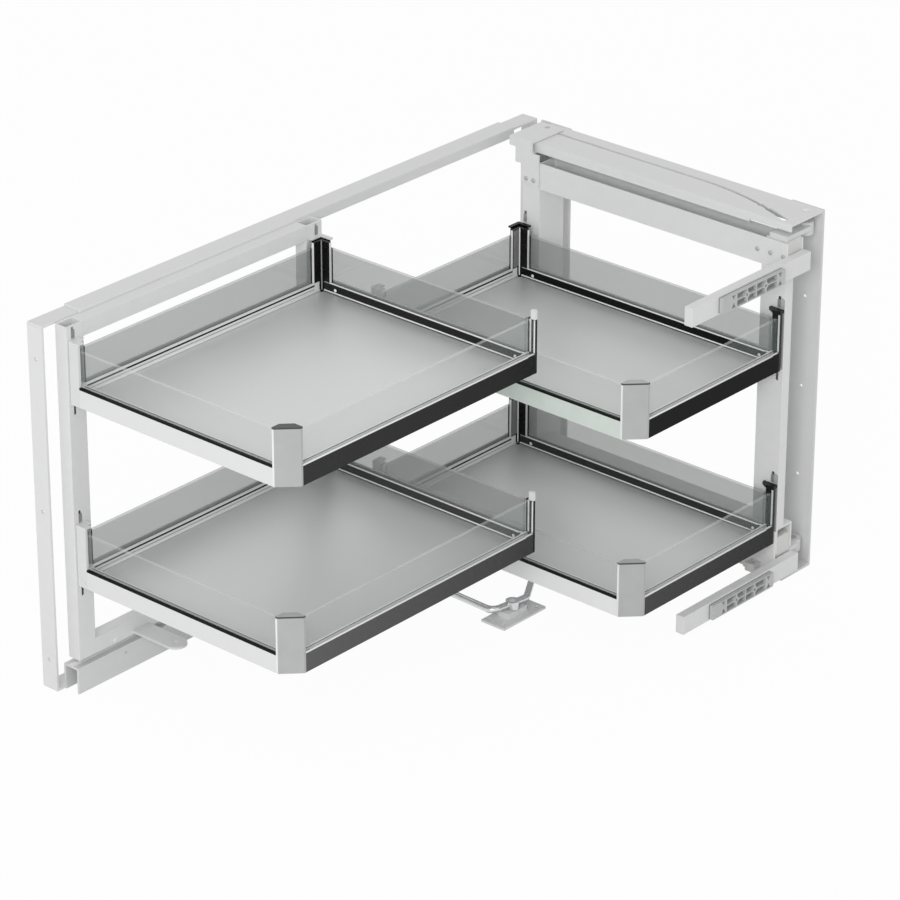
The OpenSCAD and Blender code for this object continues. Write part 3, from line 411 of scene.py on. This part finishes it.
def add_bevel(obj, width):
    """Small rounded edges on a piece, with its split vertices and flat faces joined first."""
    weld = obj.modifiers.new("weld", "WELD")
    weld.merge_threshold = 0.01 * MM
    flat = obj.modifiers.new("flat", "DECIMATE")
    flat.decimate_type = "DISSOLVE"
    flat.angle_limit = math.radians(1)
    bevel = obj.modifiers.new("bevel", "BEVEL")
    bevel.width = width * MM
    bevel.segments = 2
    bevel.limit_method = "ANGLE"
    bevel.angle_limit = math.radians(40)
    bevel.use_clamp_overlap = True


for part in frame["record"]["subparts"]:
    node = nodes[part["node"]]
    slot = part["material_slot"]
    node.data.materials.clear()
    node.data.materials.append(NODE_MATERIAL.get(part["node"]) or SLOT_MATERIAL[slot])
    if slot in EDGE_WIDTH:
        add_bevel(node, EDGE_WIDTH[slot])

# Shapes of the pieces made here


def add_piece(name, mesh, material, body):
    obj = bpy.data.objects.new(name, mesh)
    bpy.context.scene.collection.objects.link(obj)
    mesh.materials.append(material)
    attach(obj, body)
    return obj


def mesh_from(name, bm):
    bmesh.ops.recalc_face_normals(bm, faces=bm.faces)
    mesh = bpy.data.meshes.new(name)
    bm.to_mesh(mesh)
    bm.free()
    return mesh


def prism(bm, outline, start, run):
    """Adds a closed prism: an outline of points in metres, moved to start and run along a vector."""
    first = [bm.verts.new(start + p) for p in outline]
    last = [bm.verts.new(start + p + run) for p in outline]
    bm.faces.new(first)
    bm.faces.new(list(reversed(last)))
    count = len(outline)
    for i in range(count):
        j = (i + 1) % count
        bm.faces.new((first[j], first[i], last[i], last[j]))


def holed_plate(bm, outer, holes, start, run):
    """Adds a plate with through cut-outs: outlines in metres, filled between and run along a vector."""
    edges = []
    for outline in (outer, *holes):
        points = [bm.verts.new(start + p) for p in outline]
        edges += [bm.edges.new((a, b)) for a, b in zip(points, points[1:] + points[:1])]
    made = bmesh.ops.triangle_fill(bm, use_beauty=True, edges=edges)["geom"]
    faces = [g for g in made if isinstance(g, bmesh.types.BMFace)]
    grown = bmesh.ops.extrude_face_region(bm, geom=faces, use_keep_orig=True)["geom"]
    moved = [g for g in grown if isinstance(g, bmesh.types.BMVert)]
    bmesh.ops.translate(bm, vec=run, verts=moved)


def dome(bm, centre, axis, radius, height, rings=5, sides=24):
    """Adds a domed screw head with a flat base, its radius and height in millimetres."""
    axis = Vector(axis).normalized()
    side = axis.orthogonal().normalized()
    other = axis.cross(side)
    turns = [2 * math.pi * s / sides for s in range(sides)]
    spokes = [side * math.cos(a) + other * math.sin(a) for a in turns]
    rows = []
    for r in range(rings):
        angle = math.pi / 2 * r / rings
        middle = centre + axis * height * MM * math.sin(angle)
        reach = radius * MM * math.cos(angle)
        rows.append([bm.verts.new(middle + spoke * reach) for spoke in spokes])
    bm.faces.new(list(reversed(rows[0])))
    for low, high in zip(rows, rows[1:]):
        for s in range(sides):
            t = (s + 1) % sides
            bm.faces.new((low[s], low[t], high[t], high[s]))
    tip = bm.verts.new(centre + axis * height * MM)
    for s in range(sides):
        bm.faces.new((rows[-1][s], rows[-1][(s + 1) % sides], tip))


def strip_lines(bm, start, run, out, lines):
    """Adds flat strips on an upright face: each line is its height above the start and its width."""
    sunk = out * -0.2 * MM
    proud = out * 0.25 * MM
    slope = 0.1
    for bottom, width in lines:
        outline = [sunk, proud + Z * slope * MM, proud + Z * (width - slope) * MM, sunk + Z * width * MM]
        prism(bm, outline, start + Z * bottom * MM, run)


# Outlines in millimetres


def rectangle(u0, v0, u1, v1):
    return [(u0, v0), (u1, v0), (u1, v1), (u0, v1)]


def circle(u, v, radius, sides=24):
    turns = [2 * math.pi * s / sides for s in range(sides)]
    return [(u + radius * math.cos(a), v + radius * math.sin(a)) for a in turns]


def angle_outline(leg, thick):
    """Plan of an angle from its outer corner, with that corner cut off."""
    return [(CUT, 0), (leg, 0), (leg, thick), (thick, thick), (thick, leg), (0, leg), (0, CUT)]


def placed(outline, across, up=Z):
    """An outline's points as vectors in metres, along two directions."""
    return [(across * u + up * v) * MM for u, v in outline]


def crown(width, height, steps=8):
    """Outline of a strip with a rounded top."""
    arc = [math.pi * i / steps for i in range(1, steps)]
    base = [(-width / 2, 0), (width / 2, 0)]
    return base + [(width / 2 * math.cos(a), height * math.sin(a)) for a in arc]


def hook_outline(half, straight, steps=8):
    """Outline of a plate with a round top, from its half width and straight height."""
    arc = [math.pi * i / steps for i in range(steps + 1)]
    base = [(-half, 0), (half, 0)]
    return base + [(half * math.cos(a), straight + half * math.sin(a)) for a in arc]


# Trays


class Tray:
    """A tray's place in the frame, with ways to add pieces measured from it in millimetres."""

    def __init__(self, name):
        self.name = name
        self.rear = name.startswith("rear")
        self.body = "rear_carriage" if self.rear else "front_frame"
        self.node = f"{name}_corner_posts"
        self.low, self.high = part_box(self.node)
        self.width = (self.high.x - self.low.x) / MM
        self.depth = (self.high.y - self.low.y) / MM
        self.bar_top = REAR_BAR_TOP if self.rear else FRONT_BAR_TOP

    def at(self, x, y, z):
        """A place measured from the bottom of the tray's front left corner."""
        return self.low + Vector((x, y, z)) * MM

    def upright(self, bm, corner, plan, bottom, top):
        """Adds an upright between two heights, with a plan measured inwards from a corner."""
        outline = []
        for u, v in plan:
            x = self.width - u if corner.endswith("right") else u
            y = self.depth - v if corner.startswith("back") else v
            outline.append((x, y))
        prism(bm, placed(outline, X, Y), self.at(0, 0, bottom), Z * (top - bottom) * MM)

    def add(self, piece, bm, material, slot="black_post"):
        return add_piece(f"{self.name}_{piece}", mesh_from(piece, bm), material, self.body)

    def stand_in(self, piece, bm, material, slot="black_post"):
        """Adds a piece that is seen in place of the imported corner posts."""
        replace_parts(self.add(piece, bm, material, slot), self.node)


def add_back_posts(tray):
    """Angle posts with caps at the back corners; the right one has an angle inside the panes too."""
    for corner, material in (("back_left", PALE_POST), ("back_right", BLACK_POST)):
        right = corner == "back_right"
        bm = bmesh.new()
        foot = [(CUT, 0), (POST, 0), (POST, POST), (0, POST), (0, CUT)]
        tray.upright(bm, corner, foot, 0, FLOOR_TOP)
        tray.upright(bm, corner, angle_outline(POST, RAIL_W), FLOOR_TOP, RAIL_H)
        tray.upright(bm, corner, angle_outline(POST, STRIP), RAIL_H, POST_TOP)
        if right:
            sunk = PANE_IN - 0.1
            inner = [(sunk, sunk), (LEG, sunk), (LEG, RAIL_W), (RAIL_W, RAIL_W), (RAIL_W, LEG), (sunk, LEG)]
            tray.upright(bm, corner, inner, RAIL_H, POST_TOP)
        tray.stand_in(f"{corner}_post", bm, material)
        bm = bmesh.new()
        cap = angle_outline(leg=20, thick=5) if right else angle_outline(POST, PANE_IN)
        tray.upright(bm, corner, cap, POST_TOP, CAP_TOP)
        tray.stand_in(f"{corner}_cap", bm, BLACK_POST if right and not tray.rear else WHITE_CAP)


def add_front_right_post(tray):
    """Flat post with a cap, on a base that carries on both rails, and the pane's end beside it."""
    corner = "front_right"
    bm = bmesh.new()
    bar = [(CUT, 0), (BAR, 0), (BAR, RAIL_W), (0, RAIL_W), (0, CUT)]
    tray.upright(bm, corner, bar, 0, tray.bar_top)
    tray.stand_in("front_right_post", bm, BLACK_POST)

    bm = bmesh.new()
    channel = [(0, 0), (RAIL_W, 0), (RAIL_W, RAIL_H), (PANE_IN, RAIL_H), (PANE_IN, GROOVE_Z),
               (STRIP, GROOVE_Z), (STRIP, RAIL_H), (0, RAIL_H)]
    prism(bm, placed(channel, Y), tray.at(tray.width - POST, 0, 0), X * (POST - BAR) * MM)
    prism(bm, placed(channel, -X), tray.at(tray.width, RAIL_W, 0), Y * (POST - RAIL_W) * MM)
    tray.upright(bm, corner, rectangle(RAIL_W, RAIL_W, POST, POST), 0, FLOOR_TOP)
    tray.stand_in("front_right_base", bm, NODE_MATERIAL[f"{tray.name}_dark_rails"], "dark_rail")

    bm = bmesh.new()
    block = [(CUT, 0), (5, 0), (5, 7), (0, 7), (0, CUT)]
    plate = [(-3, 0), (BAR, 0), (6, 11), (1, 20), (-3, 20)]
    tray.upright(bm, corner, block if tray.rear else plate, tray.bar_top, CAP_TOP)
    tray.stand_in("front_right_cap", bm, WHITE_CAP if tray.rear else BLACK_POST)

    bm = bmesh.new()
    play = 0.2
    pane = rectangle(BAR + 0.3, STRIP + play, RAIL_W - 0.8, PANE_IN - play)
    tray.upright(bm, corner, pane, GROOVE_Z + 2 * play, PANE_TOP)
    tray.add("front_pane_end", bm, NEAR_GLASS, "clear_glass")


def add_front_left_cap(tray):
    """Cap of the chamfered front post."""
    bm = bmesh.new()
    chamfer = FRONT_POST - 3
    plan = [(chamfer, 0), (FRONT_POST, 0), (FRONT_POST, RAIL_W), (RAIL_W, FRONT_POST), (0, FRONT_POST),
            (0, chamfer)]
    tray.upright(bm, "front_left", plan, FRONT_POST_TOP, FRONT_POST_TOP + CAP_H)
    # every front left cap but the rear upper tray's gets the painted reflection on top
    tray.stand_in("front_left_cap", bm, DARK_CAP if tray.name == "rear_upper" else TOP_REFLECTION_CAP)


def add_back_post_trim(tray):
    """Bright edges of the back right post, a strip down its inner corner that carries a painted highlight,
    and the grey face that it has on a front tray.
    """
    corner = "back_right"
    bm = bmesh.new()
    edge = LEG + 0.3
    tray.upright(bm, corner, rectangle(LEG, PANE_IN, edge, RAIL_W), RAIL_H, POST_TOP)
    tray.upright(bm, corner, rectangle(PANE_IN, LEG, RAIL_W, edge), RAIL_H, POST_TOP)
    tray.add("back_post_edges", bm, CHROME)

    # painted highlight down the inner corner where the post's two inner faces meet: grey on a rear tray,
    # bright on a front one
    bm = bmesh.new()
    highlight_reach = RAIL_W + 1
    tray.upright(bm, corner, [(RAIL_W, RAIL_W), (highlight_reach, RAIL_W), (RAIL_W, highlight_reach)], FLOOR_TOP + 1, POST_TOP)
    tray.add("back_post_corner_highlight", bm, GREY_FACE if tray.rear else CHROME)

    if not tray.rear:
        bm = bmesh.new()
        margin = 1.5
        face = rectangle(RAIL_W + margin, RAIL_W - 0.1, LEG - margin, RAIL_W + 0.15)
        tray.upright(bm, corner, face, RAIL_H + 1, POST_TOP - 1)
        tray.add("back_post_face", bm, GREY_FACE)


def add_pane_end_lines(tray):
    """A dark line on each pane beside the back posts."""
    bm = bmesh.new()
    top = PANE_TOP + 2
    sunk = PANE_IN - 0.15
    proud = PANE_IN + 0.1
    start = LEG + 0.4
    end = LEG + 2.4
    tray.upright(bm, "back_right", rectangle(start, sunk, end, proud), RAIL_H, top)
    tray.upright(bm, "back_right", rectangle(sunk, start, proud, end), RAIL_H, top)
    tray.upright(bm, "back_left", rectangle(POST + 0.2, sunk, POST + 1.4, PANE_IN + 0.2), RAIL_H, top)
    tray.add("pane_end_lines", bm, GASKET_AND_SHADE_BLACK)


def add_front_post_lines(tray):
    """Pale lines on the inner face of the front right post."""
    bm = bmesh.new()
    lines = ((0.5, 2.7), (6.5, 8.7)) if tray.rear else ((0.4, 3.0),)
    for start, end in lines:
        plan = rectangle(BAR - 0.1, start, BAR + 0.2, end)
        tray.upright(bm, "front_right", plan, RAIL_H + 1, tray.bar_top - 1)
    tray.add("front_post_lines", bm, CHROME if tray.rear else GREEN_LINE)


def add_left_seal(tray):
    """Black seal over the outer top edge of the left rail."""
    bm = bmesh.new()
    profile = [(-0.3, -2.2), (-0.3, 0.1), (0, 0.3), (3.2, 0.3), (3.2, -0.4), (0.2, -0.4), (0.2, -2.2)]
    length = tray.depth - FRONT_POST - POST
    prism(bm, placed(profile, X), tray.at(0, FRONT_POST, RAIL_H), Y * length * MM)
    tray.add("left_seal", bm, GASKET_AND_SHADE_BLACK)


def add_rail_lines(tray):
    """Dark lines along the inner face of the back rail, painted shade of the gap under its top strip and
    near the floor, and a bright one along that of the right rail.
    """
    # painted shade lines: height above the floor and width of each
    dark_lines = ((20.6, 2.2), (16.8, 0.5), (12.9, 0.9))
    bright_lines = ((13.6, 0.8),)
    bm = bmesh.new()
    run = X * (tray.width - POST - LEG) * MM
    strip_lines(bm, tray.at(POST, tray.depth - RAIL_W, 0), run, -Y, dark_lines)
    tray.add("back_lines", bm, GASKET_AND_SHADE_BLACK)
    bm = bmesh.new()
    run = Y * (tray.depth - POST - LEG) * MM
    strip_lines(bm, tray.at(tray.width - RAIL_W, POST, 0), run, -X, bright_lines)
    tray.add("right_lines", bm, CHROME, "bright_steel")


def add_seals(tray):
    """Thin seals between each pane and the inner strip of its rail."""
    bm = bmesh.new()
    seal = crown(0.7, 0.7)
    level = RAIL_H - 0.9
    for x, start in ((PANE_IN, FRONT_POST), (tray.width - PANE_IN, POST)):
        prism(bm, placed(seal, X), tray.at(x, start, level), Y * (tray.depth - start - POST) * MM)
    for y, start, end in ((PANE_IN, FRONT_POST, BAR), (tray.depth - PANE_IN, POST, POST)):
        prism(bm, placed(seal, Y), tray.at(start, y, level), X * (tray.width - start - end) * MM)
    tray.add("seals", bm, DARK_LINE)


def add_rail_screws(tray):
    """Screw heads on the inner face of the right rail."""
    bm = bmesh.new()
    screw_z = 17.6
    for y in (POST + 8, tray.depth - 34):
        dome(bm, tray.at(tray.width - RAIL_W, y, screw_z), -X, radius=2.2, height=1.1)
    tray.add("rail_screws", bm, SCREW, "bright_steel")


# Hooks, with each plate sunk a little into the face of its post

HOOK_INSET = 8 * MM
HOOK_RISE = 80 * MM
HOOK_SUNK = 0.2 * MM
HOOK_THICK = 0.9 * MM
HOOK_PLATE = hook_outline(half=2.4, straight=9)
BAND_PLATE = hook_outline(half=3.0, straight=90)
BAND_AHEAD = 1.7 * MM
BAND_MARGIN = 3.8 * MM


def add_hooks(tray):
    """Hook plates on the faces of the posts that carry a tray."""
    low = tray.low
    high = tray.high
    rise = low.z + HOOK_RISE
    bm = bmesh.new()
    if tray.rear:
        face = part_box("carriage_posts")[0].y + HOOK_SUNK
        for x in (low.x + HOOK_INSET, high.x - HOOK_INSET):
            prism(bm, placed(HOOK_PLATE, X), Vector((x, face, rise)), -Y * HOOK_THICK)
    else:
        for post, y in (("swing_rear_post", high.y - HOOK_INSET), ("swing_front_post", low.y + HOOK_INSET)):
            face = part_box(post)[0].x + HOOK_SUNK
            prism(bm, placed(HOOK_PLATE, Y), Vector((face, y, rise)), -X * HOOK_THICK)
    tray.add("hook_plates", bm, HOOK, "bright_steel")


def add_hook_band(tray):
    """Band up the swing frame's front post, at a front tray's front edge and clear of the post's edge."""
    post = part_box("swing_front_post")[0]
    y = max(tray.low.y - BAND_AHEAD, post.y + BAND_MARGIN)
    bm = bmesh.new()
    prism(bm, placed(BAND_PLATE, Y), Vector((post.x + HOOK_SUNK, y, tray.low.z)), -X * HOOK_THICK)
    tray.add("hook_band", bm, HOOK_BAND, "bright_steel")


# Door adapters

ADAPTER_PLATE = 1.6
ADAPTER_EDGE = 0.8
BORE_SHARE = 0.8


def adapter_pockets(length, height, holes):
    """Outlines of an adapter's pockets, across and up: two rows between diamond bosses."""
    rib = 1.6
    half_rib = rib / 2
    web = 1.2
    # corners cut off a pocket, beside a boss and elsewhere
    wide = 3.7
    small = 0.2
    row_start = 28
    row_end = 104
    end_pockets = ((17, 26), (106, length - 5))
    mid = height / 2
    top = mid - half_rib
    first, second = holes
    middle = (first + second) / 2
    spans = (
        (row_start, first - web, small, wide),
        (first + web, middle - half_rib, wide, small),
        (middle + half_rib, second - web, small, wide),
        (second + web, row_end, wide, small),
    )
    pockets = []
    for left, right, left_cut, right_cut in spans:
        pockets.append([(left, rib), (right, rib), (right, top - right_cut), (right - right_cut, top),
                        (left + left_cut, top), (left, top - left_cut)])
    for left, right in end_pockets:
        pockets.append([(left + half_rib, rib), (right - half_rib, rib), ((left + right) / 2, mid - rib)])
    return pockets + [[(u, height - w) for u, w in pocket] for pocket in pockets]


def add_adapters():
    """Ribbed door adapters: a thin back plate and a front layer with pockets round two screw bosses; the
    back plate is darker, a painted shade at the floor of the pockets.
    """
    low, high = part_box("door_adapters")
    mounts = {m["name"]: m for m in frame["record"]["mounts"]}
    length = (high.x - low.x) / MM
    half = high.z - mounts["door_upper"]["pos_m"][2]
    height = 2 * half / MM
    back_run = Y * ADAPTER_PLATE * MM
    ribs_run = Y * (high.y - low.y) - back_run
    edge = ADAPTER_EDGE
    outer = [(edge, 0), (length - edge, 0), (length, edge), (length, height - edge),
             (length - edge, height), (edge, height), (0, height - edge), (0, edge)]
    for name in ("door_upper", "door_lower"):
        centre = Vector(mounts[name]["pos_m"])
        dims = mounts[name]["dims"]
        start = Vector((low.x, low.y, centre.z - half))
        spots = [(centre.x - low.x) / MM + side * dims["spacing_x_mm"] / 2 for side in (-1, 1)]
        bores = [circle(u, height / 2, dims["hole_r_mm"] * BORE_SHARE) for u in spots]
        bore_holes = [placed(bore, X) for bore in bores]
        pocket_holes = [placed(pocket, X) for pocket in adapter_pockets(length, height, spots)]
        bm = bmesh.new()
        holed_plate(bm, placed(outer, X), pocket_holes + bore_holes, start, ribs_run)
        mesh = mesh_from("adapter", bm)
        ribs = add_piece(f"{name}_adapter", mesh, ADAPTER, "front_frame")
        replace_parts(ribs, "door_adapters")
        # back plate in the darker colour, painted shade seen through the pockets
        bm = bmesh.new()
        holed_plate(bm, placed(outer, X), bore_holes, start + ribs_run, back_run)
        mesh = mesh_from("adapter_back_shade", bm)
        plate = add_piece(f"{name}_adapter_back_shade", mesh, ADAPTER_POCKET_SHADE, "front_frame")
        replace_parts(plate, "door_adapters")


def add_bottom_rail_screw():
    """Screw in the front of the bottom rail, near its left end."""
    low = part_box("rear_bottom_rail")[0]
    from_left = 78
    above_floor = 25
    proud = 0.05
    place = Vector((low.x + from_left * MM, low.y - proud * MM, above_floor * MM))
    bm = bmesh.new()
    dome(bm, place, -Y, radius=1.8, height=0.5)
    mesh = mesh_from("rail_screw", bm)
    add_piece("bottom_rail_screw", mesh, DARK_SCREW, "cabinet_fixings")


for tray_name in TRAY_NAMES:
    tray = Tray(tray_name)
    add_back_posts(tray)
    add_front_right_post(tray)
    add_front_left_cap(tray)
    add_back_post_trim(tray)
    add_pane_end_lines(tray)
    add_front_post_lines(tray)
    add_left_seal(tray)
    add_rail_lines(tray)
    add_seals(tray)
    add_rail_screws(tray)
    add_hooks(tray)
    if not tray.rear:
        add_hook_band(tray)
add_adapters()
add_bottom_rail_screw()

# Camera at the photograph's viewing angle

FOCAL_PX = 4206.8
IMAGE_PX = 900
AZIMUTH = -48.57
ELEVATION = 25.87
ROLL = 0.086
CAMERA_PLACE = (-3.376, -2.985, 2.419)
camera_data = bpy.data.cameras.new("camera")
camera_data.sensor_width = 36
camera_data.lens = FOCAL_PX * camera_data.sensor_width / IMAGE_PX
camera_data.clip_end = 100
camera = bpy.data.objects.new("camera", camera_data)
bpy.context.scene.collection.objects.link(camera)
turn = Matrix.Rotation(math.radians(AZIMUTH), 4, "Z") \
    @ Matrix.Rotation(math.radians(90 - ELEVATION), 4, "X") \
    @ Matrix.Rotation(math.radians(ROLL), 4, "Z")
camera.matrix_world = Matrix.Translation(CAMERA_PLACE) @ turn
bpy.context.scene.camera = camera

# Floor, world and lamp

FLOOR_HALF = 20
FLOOR_GLOW = 0.96
WORLD_LIGHT = 0.66
WHITE = (1, 1, 1, 1)


def seen_directly(tree):
    """1 for what the camera sees, also mirrored or through glass, 0 for the light on the part."""
    paths = tree.nodes.new("ShaderNodeLightPath")
    mirrored = either(tree, paths.outputs["Is Glossy Ray"], paths.outputs["Is Transmission Ray"])
    return either(tree, paths.outputs["Is Camera Ray"], mirrored)


def link_mix(tree, factor, first, second, output):
    """Mixes two shaders into the surface of an output."""
    blend = tree.nodes.new("ShaderNodeMixShader")
    tree.links.new(factor, blend.inputs[0])
    tree.links.new(first.outputs[0], blend.inputs[1])
    tree.links.new(second.outputs[0], blend.inputs[2])
    tree.links.new(blend.outputs[0], tree.nodes[output].inputs["Surface"])


def floor_material():
    """Pale matt floor that is seen almost white."""
    mat, tree, shader = new_material("pale_floor")
    shader.inputs["Base Color"].default_value = (0.85, 0.85, 0.85, 1)
    shader.inputs["Roughness"].default_value = 0.9
    glow = tree.nodes.new("ShaderNodeEmission")
    glow.inputs["Strength"].default_value = 1.0
    share = mapped(tree, seen_directly(tree), 0, 1, 0, FLOOR_GLOW)
    link_mix(tree, share, shader, glow, "Material Output")
    return mat


def set_world():
    """Even white light, with a brighter white where the world itself is seen."""
    world = bpy.data.worlds.new("studio")
    bpy.context.scene.world = world
    world.use_nodes = True
    tree = world.node_tree
    light = tree.nodes["Background"]
    light.inputs["Color"].default_value = WHITE
    light.inputs["Strength"].default_value = WORLD_LIGHT
    seen = tree.nodes.new("ShaderNodeBackground")
    seen.inputs["Color"].default_value = WHITE
    seen.inputs["Strength"].default_value = 1.0
    link_mix(tree, seen_directly(tree), light, seen, "World Output")


def soft_lamp(name, place, aim, size, watts):
    data = bpy.data.lights.new(name, "AREA")
    data.shape = "SQUARE"
    data.size = size
    data.energy = watts
    lamp = bpy.data.objects.new(name, data)
    bpy.context.scene.collection.objects.link(lamp)
    towards = Vector(aim) - Vector(place)
    lamp.matrix_world = Matrix.Translation(place) @ towards.to_track_quat("-Z", "Y").to_matrix().to_4x4()


bm = bmesh.new()
for x, y in rectangle(-FLOOR_HALF, -FLOOR_HALF, FLOOR_HALF, FLOOR_HALF):
    bm.verts.new((x, y, 0))
bm.faces.new(bm.verts)
floor_mesh = mesh_from("floor", bm)
floor = bpy.data.objects.new("floor", floor_mesh)
bpy.context.scene.collection.objects.link(floor)
floor_mesh.materials.append(floor_material())
set_world()
soft_lamp("camera_side", place=(-4.0, -2.5, 2.5), aim=(0, 0, 0.2), size=2.2, watts=105)

bpy.context.scene.view_settings.view_transform = "Standard"
